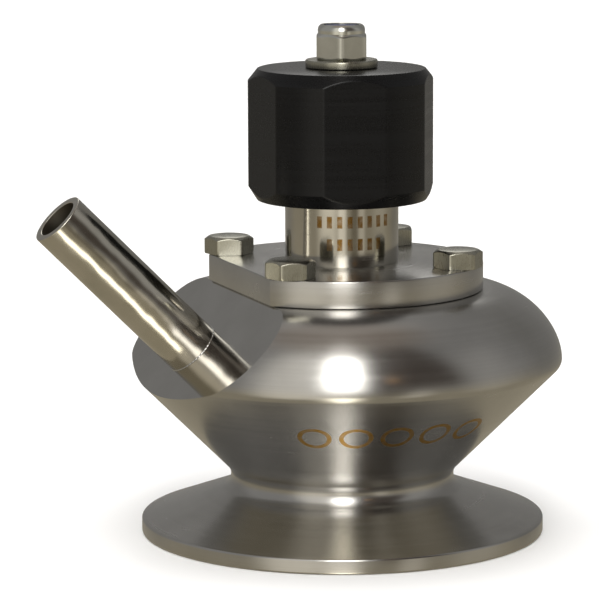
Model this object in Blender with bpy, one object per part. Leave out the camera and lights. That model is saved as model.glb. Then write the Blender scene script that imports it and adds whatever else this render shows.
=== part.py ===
"""Hand-operated radial diaphragm valve for the bottom of a tank, closed.

The clamp ferrule's face lies on the plane z = 0 with its centre at the origin, and the valve
stands on it, knob up. The outlet tube rises at 45 degrees towards -X.
"""

import math

import bmesh
import bpy
from mathutils import Matrix, Vector

MM = 0.001
GAP = 0.3 * MM

# Clamp ferrule, a 3 inch one, and the round neck above it.
FERRULE_RADIUS = 45.45 * MM
FERRULE_EDGE_HEIGHT = 2.9 * MM
FERRULE_EDGE_ROUND = 0.5 * MM
FERRULE_SLOPE = math.radians(20)
GROOVE_RADIUS = 41.6 * MM
GROOVE_DEPTH = 1.6 * MM
NECK_RADIUS = 25.2 * MM

# Bowl: a cone up from the neck, the bulge, and a shoulder.
CONE_ANGLE = math.radians(45)
BULGE_RADIUS = 49.5 * MM
BULGE_HEIGHT = 39.6 * MM
BULGE_EDGE_ROUND = 2.5 * MM
BOWL_TOP_RADIUS = 33.2 * MM
BOWL_TOP_HEIGHT = 55.3 * MM
SHOULDER_POWER = 1.13  # 1 is a true ellipse, and more is flatter

# Inside of the bowl.
PORT_RADIUS = 9.5 * MM
PORT_HEIGHT = 5.0 * MM
PORT_CHAMFER = 1.0 * MM
CHAMBER_LOW_RADIUS = 12.5 * MM
CHAMBER_LOW_HEIGHT = 8.0 * MM
CHAMBER_TOP_RADIUS = 18.5 * MM
SEATING_HEIGHT = 39.5 * MM
SEATING_RADIUS = 22.5 * MM

# Outlet at 45 degrees, square to a flat milled on the shoulder.
OUTLET_AXIS_HEIGHT = 7.9 * MM  # where the tube's axis meets the valve's
TUBE_RADIUS = 6.35 * MM
TUBE_WALL = 1.65 * MM
TUBE_FOOT = 50.7 * MM  # along the tube's axis, from the valve's axis
TUBE_END = 93.9 * MM
WELD_HEIGHT = 1.0 * MM
WELD_BULGE = 0.15 * MM

# Bonnet: a plate with a spigot below, and the stem housing on it.
PLATE_RADIUS = 31.7 * MM
PLATE_THICKNESS = 5.8 * MM
PLATE_CHAMFER = 0.3 * MM
PLATE_FLAT_DISTANCE = 24.6 * MM
SPIGOT_RADIUS = 22.2 * MM
SPIGOT_BORE_RADIUS = 15.5 * MM
BONNET_CEILING = 57.5 * MM
STEM_HOLE_RADIUS = 6.2 * MM
SEAL_GROOVE_RADIUS = 8.3 * MM
SEAL_GROOVE_FROM = 58.5 * MM
SEAL_GROOVE_TO = 60.9 * MM
SEAL_THICKNESS = 1.9 * MM
HOUSING_RADIUS = 12.7 * MM
HOUSING_BORE_RADIUS = 9.5 * MM
HOUSING_TOP = 89.0 * MM
CIRCLIP_GROOVE_DEPTH = 0.7 * MM
CIRCLIP_BOTTOM = 86.7 * MM
CIRCLIP_THICKNESS = 1.0 * MM
CIRCLIP_INNER_RADIUS = 7.5 * MM
CIRCLIP_MOUTH = 3.0 * MM

# Bolts, M6.
BOLT_COUNT = 4
BOLT_CIRCLE_RADIUS = 28.0 * MM
FIRST_BOLT_ANGLE = math.radians(225)
HEX_ACROSS_FLATS = 9.8 * MM
BOLT_HEAD_HEIGHT = 3.8 * MM
BOLT_HOLE_RADIUS = 3.0 * MM
BOLT_HOLE_BOTTOM = 44.0 * MM
BOLT_SHANK_RADIUS = 2.7 * MM
BOLT_LENGTH = 16.0 * MM
# How far each head stopped past a corner at +X, as it was tightened.
BOLT_HEAD_TURNS = [math.radians(a) for a in (48, 47, 12, 42)]

# Diaphragm and what lifts it.
TIP_HEIGHT = 0.6 * MM
TIP_RADIUS = 9.2 * MM
DIAPHRAGM_RIM_THICKNESS = 1.7 * MM
CUP_FLOOR = 14.0 * MM
CUP_FLOOR_RADIUS = 6.2 * MM
KNEE_HEIGHT = 33.0 * MM  # where the cup's wall turns outward
KNEE_OUTER_RADIUS = 13.6 * MM
KNEE_INNER_RADIUS = 11.2 * MM
RIM_OUTER_RADIUS = 17.8 * MM  # where the wall meets the rim, outside and inside
RIM_INNER_RADIUS = 15.8 * MM
PLUG_OUTLINE = [(9.2 * MM, 15.0 * MM), (8.8 * MM, 10.5 * MM), (10.6 * MM, 7.6 * MM), (9.2 * MM, 4.8 * MM)]
TIP_CHAMFER = 0.6 * MM
STUD_RADIUS = 2.2 * MM
STUD_HEAD_RADIUS = 5.0 * MM
STUD_HEAD_BOTTOM = 4.0 * MM
STUD_HEAD_HEIGHT = 2.0 * MM
STUD_TOP = 24.0 * MM
COMPRESSOR_RADIUS = 14.9 * MM
COMPRESSOR_TOP = 50.5 * MM
COMPRESSOR_SIDE_BOTTOM = 42.5 * MM
COMPRESSOR_SHOULDER_RADIUS = 14.6 * MM
COMPRESSOR_SHOULDER_HEIGHT = 41.0 * MM
POCKET_FLOOR = 44.0 * MM
POCKET_RADIUS = 7.3 * MM
PIN_RADIUS = 1.2 * MM
PIN_HEIGHT = 47.5 * MM
PIN_TIP = 12.4 * MM  # from the valve's axis
PIN_SLOT_DEPTH = 3.0 * MM

# Spindle.
COLLAR_RADIUS = 6.5 * MM
COLLAR_BOTTOM = 45.4 * MM
COLLAR_HEIGHT = 2.6 * MM
WAIST_RADIUS = 4.2 * MM
WAIST_TOP = 53.5 * MM
SPINDLE_RADIUS = 5.7 * MM
SPINDLE_SHOULDER = 90.0 * MM
DRIVE_RADIUS = 4.5 * MM
DRIVE_FLAT_DISTANCE = 3.4 * MM
STUD_END_RADIUS = 2.85 * MM
SPINDLE_TOP = 113.7 * MM
BUSH_RADIUS = 9.2 * MM
THREAD_BUSH_TOP = 82.0 * MM

# Knob.
KNOB_RADIUS = 20.9 * MM
KNOB_BOTTOM = 75.3 * MM
KNOB_TOP = 104.7 * MM
KNOB_TOP_FACE_RADIUS = 18.8 * MM
KNOB_BOTTOM_FACE_RADIUS = 19.0 * MM
KNOB_TOP_CHAMFER = 2.7 * MM
KNOB_BOTTOM_CHAMFER = 3.1 * MM
KNOB_BORE_RADIUS = 13.1 * MM
KNOB_FLATS = 5
FIRST_KNOB_FLAT_ANGLE = math.radians(257.3)
KNOB_FLAT_DISTANCE = 19.68 * MM

# Washer and self-locking nut on the knob.
WASHER_RADIUS = 8.05 * MM
WASHER_HOLE_RADIUS = 3.3 * MM
WASHER_THICKNESS = 1.6 * MM
NUT_ACROSS_FLATS = 11.1 * MM
NUT_TURN = math.radians(8.5)  # how far it stopped past a corner at +X
NUT_HEX_HEIGHT = 5.4 * MM
NUT_HEIGHT = 7.7 * MM
NUT_HOLE_RADIUS = 3.15 * MM
NUT_COLLAR_RADIUS = 5.35 * MM
NUT_COLLAR_ROUND = 1.6 * MM
NUT_COUNTERBORE_RADIUS = 4.0 * MM
INSERT_RADIUS = 3.7 * MM
INSERT_HEIGHT = 2.1 * MM

# Positions that follow from the sizes above.
PLATE_BOTTOM = BOWL_TOP_HEIGHT + GAP
PLATE_TOP = PLATE_BOTTOM + PLATE_THICKNESS
SPIGOT_BOTTOM = SEATING_HEIGHT + DIAPHRAGM_RIM_THICKNESS + 2 * GAP
HOUSING_BOTTOM = PLATE_TOP + GAP
WASHER_BOTTOM = KNOB_TOP + GAP
NUT_BOTTOM = WASHER_BOTTOM + WASHER_THICKNESS + GAP
OUTLET_DIRECTION = Vector((-1, 0, 1)).normalized()

FINE_STEPS = 60
STEPS = 36
SMALL_STEPS = 24


def make_material(name, color, roughness, metallic):
    material = bpy.data.materials.new(name)
    material.use_nodes = True
    shader = material.node_tree.nodes["Principled BSDF"]
    shader.inputs["Base Color"].default_value = (*color, 1)
    shader.inputs["Roughness"].default_value = roughness
    shader.inputs["Metallic"].default_value = metallic
    return material


def add_object(name, bm, material):
    """A new object from bm, faces out and round stretches shaded smooth."""
    bmesh.ops.recalc_face_normals(bm, faces=bm.faces)
    mesh = bpy.data.meshes.new(name)
    bm.to_mesh(mesh)
    bm.free()
    mesh.shade_smooth()
    mesh.set_sharp_from_angle(angle=math.radians(30))
    mesh.materials.append(material)
    obj = bpy.data.objects.new(name, mesh)
    bpy.context.scene.collection.objects.link(obj)
    return obj


def arc(center, radius, first, last, steps):
    """Points (radius, height) on an arc, between two angles in degrees."""
    points = []
    for i in range(steps + 1):
        angle = math.radians(first + (last - first) * i / steps)
        points.append((center[0] + radius * math.cos(angle), center[1] + radius * math.sin(angle)))
    return points


def spun(outline, steps):
    """A bmesh turned round Z from an outline of (radius, height): open if it ends on the axis."""
    bm = bmesh.new()
    points = [bm.verts.new((r, 0, z)) for r, z in outline]
    edges = [bm.edges.new(pair) for pair in zip(points, points[1:])]
    if outline[0][0] > 0:
        edges.append(bm.edges.new((points[-1], points[0])))
    bmesh.ops.spin(
        bm, geom=points + edges, cent=(0, 0, 0), axis=(0, 0, 1), angle=math.tau, steps=steps
    )
    bmesh.ops.remove_doubles(bm, verts=bm.verts, dist=1e-6)
    return bm


def turned(name, outline, material, steps=STEPS):
    return add_object(name, spun(outline, steps), material)


def ring(name, inner, outer, bottom, top, material, steps=STEPS):
    outline = [(inner, top), (outer, top), (outer, bottom), (inner, bottom)]
    return turned(name, outline, material, steps)


def cutter(name, bm, matrix=None):
    """A hidden helper that cut() takes away from other pieces."""
    bmesh.ops.recalc_face_normals(bm, faces=bm.faces)
    mesh = bpy.data.meshes.new(name)
    bm.to_mesh(mesh)
    bm.free()
    obj = bpy.data.objects.new(name, mesh)
    obj.matrix_world = matrix or Matrix()
    obj.hide_render = True
    obj.display_type = "WIRE"
    bpy.context.scene.collection.objects.link(obj)
    return obj


def cylinder_cutter(name, radius, bottom, top, matrix=None, steps=SMALL_STEPS):
    outline = [(0, top), (radius, top), (radius, bottom), (0, bottom)]
    return cutter(name, spun(outline, steps), matrix)


def box_cutter(name, low, high, matrix=None):
    bm = bmesh.new()
    bmesh.ops.create_cube(bm, size=1)
    size = Vector(high) - Vector(low)
    bmesh.ops.scale(bm, vec=size, verts=bm.verts)
    bmesh.ops.translate(bm, vec=Vector(low) + size / 2, verts=bm.verts)
    return cutter(name, bm, matrix)


def hex_prism(across_flats, bottom, top):
    """A bmesh hexagon prism with a corner at +X."""
    bm = bmesh.new()
    bmesh.ops.create_cone(
        bm,
        cap_ends=True,
        segments=6,
        radius1=across_flats / math.sqrt(3),
        radius2=across_flats / math.sqrt(3),
        depth=top - bottom,
        matrix=Matrix.Rotation(math.radians(30), 4, "Z"),
    )
    bmesh.ops.translate(bm, vec=(0, 0, (top + bottom) / 2), verts=bm.verts)
    return bm


def boolean(obj, other, operation):
    modifier = obj.modifiers.new(f"{operation} {other.name}", "BOOLEAN")
    modifier.operation = operation
    modifier.object = other


def cut(obj, *cutters):
    for other in cutters:
        boolean(obj, other, "DIFFERENCE")


def bolt_angles():
    return [FIRST_BOLT_ANGLE + i * math.tau / BOLT_COUNT for i in range(BOLT_COUNT)]


def bolt_place(angle):
    return Vector((math.cos(angle), math.sin(angle), 0)) * BOLT_CIRCLE_RADIUS


def outlet_matrix():
    """Z along the outlet's axis, from where it meets the valve's axis."""
    turn = Vector((0, 0, 1)).rotation_difference(OUTLET_DIRECTION)
    return Matrix.Translation((0, 0, OUTLET_AXIS_HEIGHT)) @ turn.to_matrix().to_4x4()


def ferrule_outline():
    """The ferrule from its bore out to its back slope: face, gasket groove, edge."""
    edge = FERRULE_EDGE_ROUND
    slope_normal = 90 - math.degrees(FERRULE_SLOPE)
    return [
        (PORT_RADIUS + PORT_CHAMFER, 0),
        *arc((GROOVE_RADIUS, 0), GROOVE_DEPTH, 180, 0, 4),
        *arc((FERRULE_RADIUS - edge, edge), edge, -90, 0, 2),
        *arc((FERRULE_RADIUS - edge, FERRULE_EDGE_HEIGHT), edge, 0, slope_normal, 2),
    ]


def neck_outline(slope_start, cone_end):
    """The round neck, tangent to the ferrule's back slope and to the cone below the bulge."""
    slope = math.tan(FERRULE_SLOPE)
    cone = math.tan(CONE_ANGLE)
    slope_at_axis = slope_start[1] + slope_start[0] * slope
    cone_at_axis = cone_end[1] - cone_end[0] * cone
    meet_radius = (slope_at_axis - cone_at_axis) / (cone + slope)
    meet_height = cone_at_axis + meet_radius * cone
    half = (CONE_ANGLE + FERRULE_SLOPE) / 2
    tilt = (CONE_ANGLE - FERRULE_SLOPE) / 2
    reach = (NECK_RADIUS - meet_radius) / (math.cos(tilt) - math.sin(half))
    center = (meet_radius + reach * math.cos(tilt), meet_height + reach * math.sin(tilt))
    first = 270 - math.degrees(FERRULE_SLOPE)
    last = 90 + math.degrees(CONE_ANGLE)
    return arc(center, reach * math.sin(half), first, last, 8)


def bowl_outline():
    """The bowl from the end of its cone up: bulge, shoulder, top face."""
    edge = BULGE_EDGE_ROUND
    bulge = arc((BULGE_RADIUS - edge, BULGE_HEIGHT), edge, -math.degrees(CONE_ANGLE), 0, 3)
    shoulder = []
    shoulder_steps = 9
    for i in range(1, shoulder_steps + 1):
        angle = math.pi / 2 * i / shoulder_steps
        across = math.cos(angle) ** SHOULDER_POWER if i < shoulder_steps else 0
        up = math.sin(angle) ** SHOULDER_POWER
        radius = BOWL_TOP_RADIUS + (BULGE_RADIUS - BOWL_TOP_RADIUS) * across
        shoulder.append((radius, BULGE_HEIGHT + (BOWL_TOP_HEIGHT - BULGE_HEIGHT) * up))
    return [*bulge, *shoulder]


def bowl_inside_outline():
    """The inside from the top face down: seating for the diaphragm, chamber, seat, port."""
    return [
        (SEATING_RADIUS, BOWL_TOP_HEIGHT),
        (SEATING_RADIUS, SEATING_HEIGHT),
        (CHAMBER_TOP_RADIUS, SEATING_HEIGHT),
        (CHAMBER_LOW_RADIUS, CHAMBER_LOW_HEIGHT),
        (PORT_RADIUS, PORT_HEIGHT),
        (PORT_RADIUS, PORT_CHAMFER),
    ]


def make_valve_body(steel, bolt_hole_cutters):
    ferrule = ferrule_outline()
    bowl = bowl_outline()
    outline = [*ferrule, *neck_outline(ferrule[-1], bowl[0]), *bowl, *bowl_inside_outline()]
    body = turned("valve_body", outline, steel, FINE_STEPS)
    reach = 60 * MM
    flat = box_cutter(
        "outlet_flat_cutter", (-reach, -reach, TUBE_FOOT - GAP), (reach, reach, 2 * reach), outlet_matrix()
    )
    bore = cylinder_cutter(
        "outlet_bore_cutter", TUBE_RADIUS - TUBE_WALL, 12 * MM, TUBE_END, outlet_matrix()
    )
    cut(body, flat, bore, *bolt_hole_cutters)
    return body


def make_outlet_tube(steel):
    """A plain tube with a low weld bead round its foot."""
    inner = TUBE_RADIUS - TUBE_WALL
    bead = TUBE_RADIUS + WELD_BULGE
    outline = [
        (inner, TUBE_END),
        (TUBE_RADIUS, TUBE_END),
        (TUBE_RADIUS, TUBE_FOOT + WELD_HEIGHT),
        (bead, TUBE_FOOT + WELD_HEIGHT * 0.6),
        (bead, TUBE_FOOT),
        (inner, TUBE_FOOT),
    ]
    tube = turned("outlet_tube", outline, steel, STEPS)
    tube.matrix_world = outlet_matrix()
    return tube


def make_bonnet_flange(steel):
    edge = PLATE_CHAMFER
    outline = [
        (STEM_HOLE_RADIUS, PLATE_TOP),
        (PLATE_RADIUS - edge, PLATE_TOP),
        (PLATE_RADIUS, PLATE_TOP - edge),
        (PLATE_RADIUS, PLATE_BOTTOM + edge),
        (PLATE_RADIUS - edge, PLATE_BOTTOM),
        (SPIGOT_RADIUS, PLATE_BOTTOM),
        (SPIGOT_RADIUS, SPIGOT_BOTTOM),
        (SPIGOT_BORE_RADIUS, SPIGOT_BOTTOM),
        (SPIGOT_BORE_RADIUS, BONNET_CEILING),
        (STEM_HOLE_RADIUS, BONNET_CEILING),
        (STEM_HOLE_RADIUS, SEAL_GROOVE_FROM),
        (SEAL_GROOVE_RADIUS, SEAL_GROOVE_FROM),
        (SEAL_GROOVE_RADIUS, SEAL_GROOVE_TO),
        (STEM_HOLE_RADIUS, SEAL_GROOVE_TO),
    ]
    flange = turned("bonnet_flange", outline, steel, FINE_STEPS)
    reach = 80 * MM
    flat = box_cutter(
        "plate_flat_cutter", (-reach, -reach, PLATE_BOTTOM - reach), (-PLATE_FLAT_DISTANCE, reach, reach)
    )
    pin_hole = cylinder_cutter(
        "pin_hole_cutter", PIN_RADIUS + GAP, 14 * MM, 24 * MM, pin_matrix()
    )
    holes = [
        cylinder_cutter(
            f"plate_hole_cutter_{i + 1}",
            BOLT_HOLE_RADIUS + GAP,
            PLATE_BOTTOM - MM,
            PLATE_TOP + MM,
            Matrix.Translation(bolt_place(angle)),
        )
        for i, angle in enumerate(bolt_angles())
    ]
    cut(flange, flat, pin_hole, *holes)
    return flange


def make_stem_housing(steel):
    edge = 0.5 * MM
    groove_radius = HOUSING_BORE_RADIUS + CIRCLIP_GROOVE_DEPTH
    groove_from = CIRCLIP_BOTTOM - GAP
    groove_to = CIRCLIP_BOTTOM + CIRCLIP_THICKNESS + GAP
    outline = [
        (HOUSING_BORE_RADIUS, HOUSING_TOP),
        (HOUSING_RADIUS - edge, HOUSING_TOP),
        (HOUSING_RADIUS, HOUSING_TOP - edge),
        (HOUSING_RADIUS, HOUSING_BOTTOM),
        (HOUSING_BORE_RADIUS, HOUSING_BOTTOM),
        (HOUSING_BORE_RADIUS, groove_from),
        (groove_radius, groove_from),
        (groove_radius, groove_to),
        (HOUSING_BORE_RADIUS, groove_to),
    ]
    return turned("stem_housing", outline, steel, STEPS)


def make_bolt(name, angle, head_turn, steel):
    """An M6 bolt: a hexagon head with a chamfered top, and a plain shank for the thread."""
    head_bottom = PLATE_TOP + GAP
    head_top = head_bottom + BOLT_HEAD_HEIGHT
    corner = HEX_ACROSS_FLATS / math.sqrt(3)
    chamfer = 0.7 * MM
    outline = [
        (0, head_top),
        (corner - 1.6 * chamfer, head_top),
        (corner, head_top - chamfer),
        (corner, head_bottom),
        (BOLT_SHANK_RADIUS, head_bottom),
        (BOLT_SHANK_RADIUS, head_bottom - BOLT_LENGTH + chamfer),
        (BOLT_SHANK_RADIUS - chamfer, head_bottom - BOLT_LENGTH),
        (0, head_bottom - BOLT_LENGTH),
    ]
    bolt = turned(name, outline, steel, SMALL_STEPS)
    # The prism is long, so that only its six sides meet the turned blank.
    prism = cutter(f"{name}_hexagon", hex_prism(HEX_ACROSS_FLATS, 40 * MM, 80 * MM))
    boolean(bolt, prism, "INTERSECT")
    place = Matrix.Translation(bolt_place(angle)) @ Matrix.Rotation(head_turn, 4, "Z")
    bolt.matrix_world = place
    prism.matrix_world = place
    return bolt


def make_diaphragm(rubber):
    """A cup whose floor is the plug, with a hollow for the stud's head, and a flat rim."""
    rim_bottom = SEATING_HEIGHT + GAP
    rim_top = rim_bottom + DIAPHRAGM_RIM_THICKNESS
    rim_radius = SPIGOT_RADIUS
    head_top = STUD_HEAD_BOTTOM + STUD_HEAD_HEIGHT
    outline = [
        (0, STUD_HEAD_BOTTOM - GAP),
        (STUD_HEAD_RADIUS + GAP, STUD_HEAD_BOTTOM - GAP),
        (STUD_HEAD_RADIUS + GAP, head_top + GAP),
        (STUD_RADIUS + GAP, head_top + GAP),
        (STUD_RADIUS + GAP, CUP_FLOOR),
        (CUP_FLOOR_RADIUS, CUP_FLOOR),
        (KNEE_INNER_RADIUS, KNEE_HEIGHT),
        (RIM_INNER_RADIUS, rim_top),
        (rim_radius, rim_top),
        (rim_radius, rim_bottom),
        (RIM_OUTER_RADIUS, rim_bottom),
        (KNEE_OUTER_RADIUS, KNEE_HEIGHT),
        *PLUG_OUTLINE,
        (TIP_RADIUS, TIP_HEIGHT + TIP_CHAMFER),
        (TIP_RADIUS - TIP_CHAMFER, TIP_HEIGHT),
        (0, TIP_HEIGHT),
    ]
    return turned("diaphragm", outline, rubber, STEPS)


def make_diaphragm_stud(steel):
    head_top = STUD_HEAD_BOTTOM + STUD_HEAD_HEIGHT
    outline = [
        (0, STUD_TOP),
        (STUD_RADIUS, STUD_TOP),
        (STUD_RADIUS, head_top),
        (STUD_HEAD_RADIUS, head_top),
        (STUD_HEAD_RADIUS, STUD_HEAD_BOTTOM),
        (0, STUD_HEAD_BOTTOM),
    ]
    return turned("diaphragm_stud", outline, steel, SMALL_STEPS)


def pin_matrix():
    """Z along +X, at the pin's height."""
    return Matrix.Translation((0, 0, PIN_HEIGHT)) @ Matrix.Rotation(math.pi / 2, 4, "Y")


def make_compressor(steel):
    """The block that backs the diaphragm: stud hole below, spindle pocket above, slot for the pin."""
    outline = [
        (0, POCKET_FLOOR),
        (POCKET_RADIUS, POCKET_FLOOR),
        (POCKET_RADIUS, COMPRESSOR_TOP),
        (COMPRESSOR_RADIUS, COMPRESSOR_TOP),
        (COMPRESSOR_RADIUS, COMPRESSOR_SIDE_BOTTOM),
        (COMPRESSOR_SHOULDER_RADIUS, COMPRESSOR_SHOULDER_HEIGHT),
        (KNEE_INNER_RADIUS - 2 * GAP, KNEE_HEIGHT),
        (CUP_FLOOR_RADIUS - 0.4 * MM, CUP_FLOOR + GAP),
        (STUD_RADIUS + GAP, CUP_FLOOR + GAP),
        (STUD_RADIUS + GAP, STUD_TOP + MM),
        (0, STUD_TOP + MM),
    ]
    compressor = turned("compressor", outline, steel, STEPS)
    half_width = PIN_RADIUS + GAP
    slot = box_cutter(
        "pin_slot_cutter",
        (COMPRESSOR_RADIUS - PIN_SLOT_DEPTH, -half_width, COMPRESSOR_SHOULDER_HEIGHT + MM),
        (2 * COMPRESSOR_RADIUS, half_width, COMPRESSOR_TOP + 10 * MM),
    )
    cut(compressor, slot)
    return compressor


def make_anti_turn_pin(steel):
    outline = [
        (0, SPIGOT_RADIUS - GAP),
        (PIN_RADIUS, SPIGOT_RADIUS - GAP),
        (PIN_RADIUS, PIN_TIP),
        (0, PIN_TIP),
    ]
    pin = turned("anti_turn_pin", outline, steel, SMALL_STEPS // 2)
    pin.matrix_world = pin_matrix()
    return pin


def make_spindle(steel):
    collar_top = COLLAR_BOTTOM + COLLAR_HEIGHT
    drive_top = KNOB_TOP - 0.4 * MM
    outline = [
        (0, SPINDLE_TOP),
        (STUD_END_RADIUS - 0.6 * MM, SPINDLE_TOP),
        (STUD_END_RADIUS, SPINDLE_TOP - 0.6 * MM),
        (STUD_END_RADIUS, drive_top),
        (DRIVE_RADIUS, drive_top),
        (DRIVE_RADIUS, SPINDLE_SHOULDER),
        (SPINDLE_RADIUS, SPINDLE_SHOULDER),
        (SPINDLE_RADIUS, WAIST_TOP + MM),
        (WAIST_RADIUS, WAIST_TOP),
        (WAIST_RADIUS, collar_top),
        (COLLAR_RADIUS, collar_top),
        (COLLAR_RADIUS, COLLAR_BOTTOM),
        (0, COLLAR_BOTTOM),
    ]
    spindle = turned("spindle", outline, steel, SMALL_STEPS)
    flat = box_cutter(
        "drive_flat_cutter",
        (-DRIVE_RADIUS * 2, DRIVE_FLAT_DISTANCE, SPINDLE_SHOULDER),
        (DRIVE_RADIUS * 2, DRIVE_RADIUS * 2, KNOB_TOP),
    )
    cut(spindle, flat)
    return spindle


def make_hand_knob(plastic):
    """A turned knob with five milled flats, hollow below for the stem housing."""
    hub_bottom = SPINDLE_SHOULDER + GAP
    outline = [
        (0, KNOB_TOP),
        (KNOB_TOP_FACE_RADIUS, KNOB_TOP),
        (KNOB_RADIUS, KNOB_TOP - KNOB_TOP_CHAMFER),
        (KNOB_RADIUS, KNOB_BOTTOM + KNOB_BOTTOM_CHAMFER),
        (KNOB_BOTTOM_FACE_RADIUS, KNOB_BOTTOM),
        (KNOB_BORE_RADIUS, KNOB_BOTTOM),
        (KNOB_BORE_RADIUS, hub_bottom),
        (0, hub_bottom),
    ]
    knob = turned("hand_knob", outline, plastic, FINE_STEPS)
    for i in range(KNOB_FLATS):
        angle = FIRST_KNOB_FLAT_ANGLE + i * math.tau / KNOB_FLATS
        flat = box_cutter(
            f"knob_flat_cutter_{i + 1}",
            (KNOB_FLAT_DISTANCE, -KNOB_RADIUS, KNOB_BOTTOM - MM),
            (2 * KNOB_RADIUS, KNOB_RADIUS, KNOB_TOP + MM),
            Matrix.Rotation(angle, 4, "Z"),
        )
        cut(knob, flat)
    # The bore's own flat fits the flat on the spindle.
    bore = cylinder_cutter("knob_bore_cutter", DRIVE_RADIUS + GAP, hub_bottom - MM, KNOB_TOP + MM)
    bore_flat = box_cutter(
        "knob_bore_flat_cutter",
        (-DRIVE_RADIUS * 2, DRIVE_FLAT_DISTANCE + GAP, hub_bottom - 2 * MM),
        (DRIVE_RADIUS * 2, DRIVE_RADIUS * 2, KNOB_TOP + 2 * MM),
    )
    cut(bore, bore_flat)
    cut(knob, bore)
    return knob


def make_lock_nut(steel):
    """A high self-locking nut: hexagon below, round collar above that holds a nylon ring."""
    corner = NUT_ACROSS_FLATS / math.sqrt(3)
    chamfer = 0.6 * MM
    hex_top = NUT_BOTTOM + NUT_HEX_HEIGHT
    top = NUT_BOTTOM + NUT_HEIGHT
    round_center = (NUT_COLLAR_RADIUS - NUT_COLLAR_ROUND, top - NUT_COLLAR_ROUND)
    outline = [
        (NUT_COUNTERBORE_RADIUS, top - 0.3 * MM),
        *reversed(arc(round_center, NUT_COLLAR_ROUND, 0, 60, 4)),
        (NUT_COLLAR_RADIUS, hex_top),
        (corner, hex_top - chamfer),
        (corner, NUT_BOTTOM + chamfer),
        (corner - chamfer, NUT_BOTTOM),
        (NUT_HOLE_RADIUS, NUT_BOTTOM),
        (NUT_HOLE_RADIUS, top - INSERT_HEIGHT - 3 * GAP),
        (NUT_COUNTERBORE_RADIUS, top - INSERT_HEIGHT - 3 * GAP),
    ]
    nut = turned("lock_nut", outline, steel, SMALL_STEPS)
    prism = cutter("lock_nut_hexagon", hex_prism(NUT_ACROSS_FLATS, 90 * MM, 130 * MM))
    boolean(nut, prism, "INTERSECT")
    place = Matrix.Rotation(NUT_TURN, 4, "Z")
    nut.matrix_world = place
    prism.matrix_world = place
    return nut


def make_guide_circlip(steel):
    """An open spring ring in a groove at the top of the stem housing."""
    outer = HOUSING_BORE_RADIUS + CIRCLIP_GROOVE_DEPTH - GAP
    bottom = CIRCLIP_BOTTOM
    top = bottom + CIRCLIP_THICKNESS
    clip = ring("guide_circlip", CIRCLIP_INNER_RADIUS, outer, bottom, top, steel)
    half = CIRCLIP_MOUTH / 2
    mouth = box_cutter("circlip_mouth_cutter", (0, -half, bottom - MM), (2 * outer, half, top + MM))
    cut(clip, mouth)
    return clip


def make_stem_seal(rubber):
    """An O-ring, nearly as thick as its groove is high."""
    thickness_radius = SEAL_THICKNESS / 2
    center = (SPINDLE_RADIUS + GAP + thickness_radius, (SEAL_GROOVE_FROM + SEAL_GROOVE_TO) / 2)
    outline = arc(center, thickness_radius, 360, 0, 10)[:-1]
    return turned("stem_seal", outline, rubber, SMALL_STEPS)


def parent_to_axis(name, pieces):
    """An empty on the valve's axis that carries pieces which move together."""
    empty = bpy.data.objects.new(name, None)
    empty.empty_display_size = 20 * MM
    bpy.context.scene.collection.objects.link(empty)
    for piece in pieces:
        piece.parent = empty
    return empty


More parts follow.
